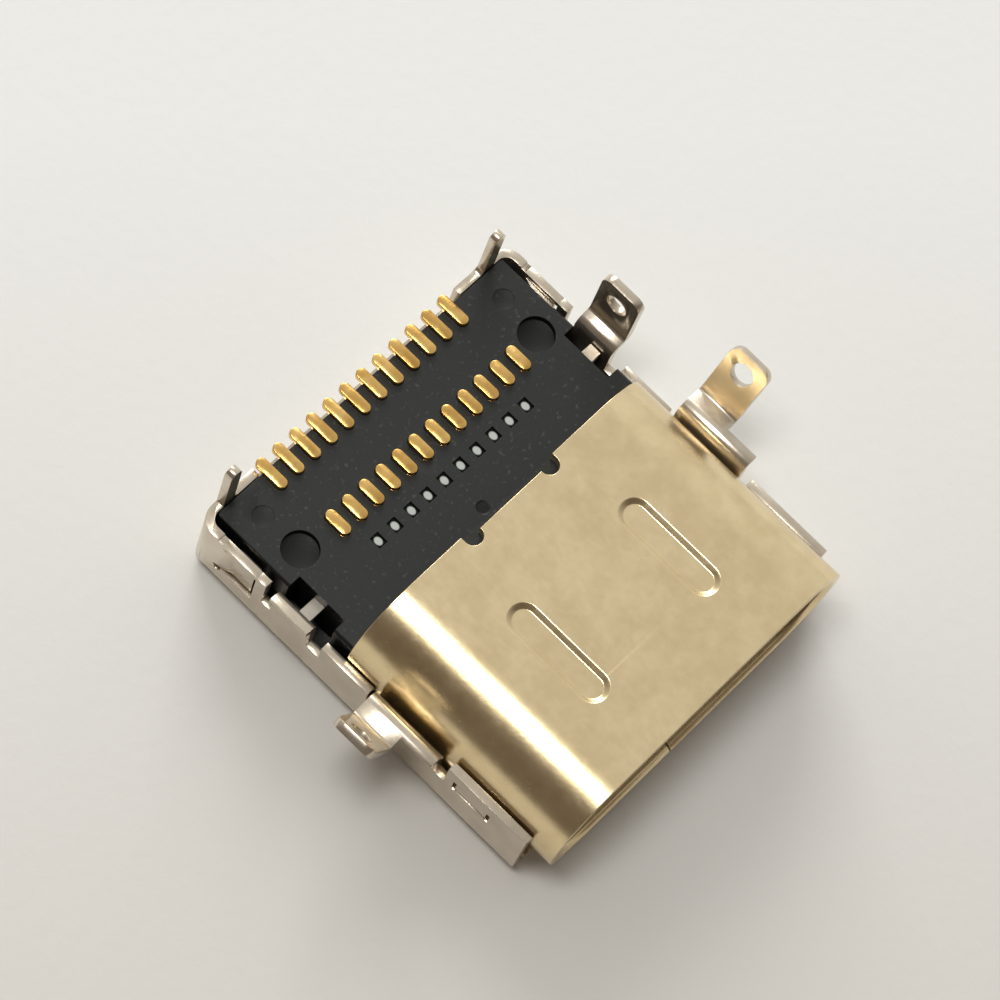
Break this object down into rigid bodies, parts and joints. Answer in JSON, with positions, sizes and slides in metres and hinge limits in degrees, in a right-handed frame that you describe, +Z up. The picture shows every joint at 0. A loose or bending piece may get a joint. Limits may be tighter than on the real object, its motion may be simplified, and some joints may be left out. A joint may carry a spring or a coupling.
{
  "type": "usb-c socket",
  "caption": "Mid-mount reversible plug socket: rolled steel tube, black moulded rear block with soldering tails, and a folded outer sheet with solder legs.",
  "frame": {"origin": "centre of the bounding box's underside, on the flat floor of the outer sheet", "axes": "+X across the socket, +Y from the mouth to the soldering tails, +Z up out of the soldering side"},
  "size_m": [0.0124, 0.0102, 0.0039],
  "materials": {
    "tube_steel": "satin nickel over steel",
    "sheet_steel": "satin nickel over steel",
    "black_plastic": "satin, lightly scuffed",
    "plate_steel": "bright stainless",
    "contact_gold": "thin gold over copper alloy"
  },
  "bodies": {
    "root": {"tube_shell": "tube_steel", "cover_shield": "sheet_steel", "housing": "black_plastic", "mid_plate": "plate_steel", "upper_ground_pad": "plate_steel", "lower_ground_pad": "plate_steel", "front_contact_1": "contact_gold", "front_contact_2": "contact_gold", "front_contact_3": "contact_gold", "front_contact_4": "contact_gold", "front_contact_5": "contact_gold", "front_contact_6": "contact_gold", "front_contact_7": "contact_gold", "front_contact_8": "contact_gold", "front_contact_9": "contact_gold", "front_contact_10": "contact_gold", "front_contact_11": "contact_gold", "front_contact_12": "contact_gold", "rear_contact_1": "contact_gold", "rear_contact_2": "contact_gold", "rear_contact_3": "contact_gold", "rear_contact_4": "contact_gold", "rear_contact_5": "contact_gold", "rear_contact_6": "contact_gold", "rear_contact_7": "contact_gold", "rear_contact_8": "contact_gold", "rear_contact_9": "contact_gold", "rear_contact_10": "contact_gold", "rear_contact_11": "contact_gold", "rear_contact_12": "contact_gold"}
  },
  "joints": []
}
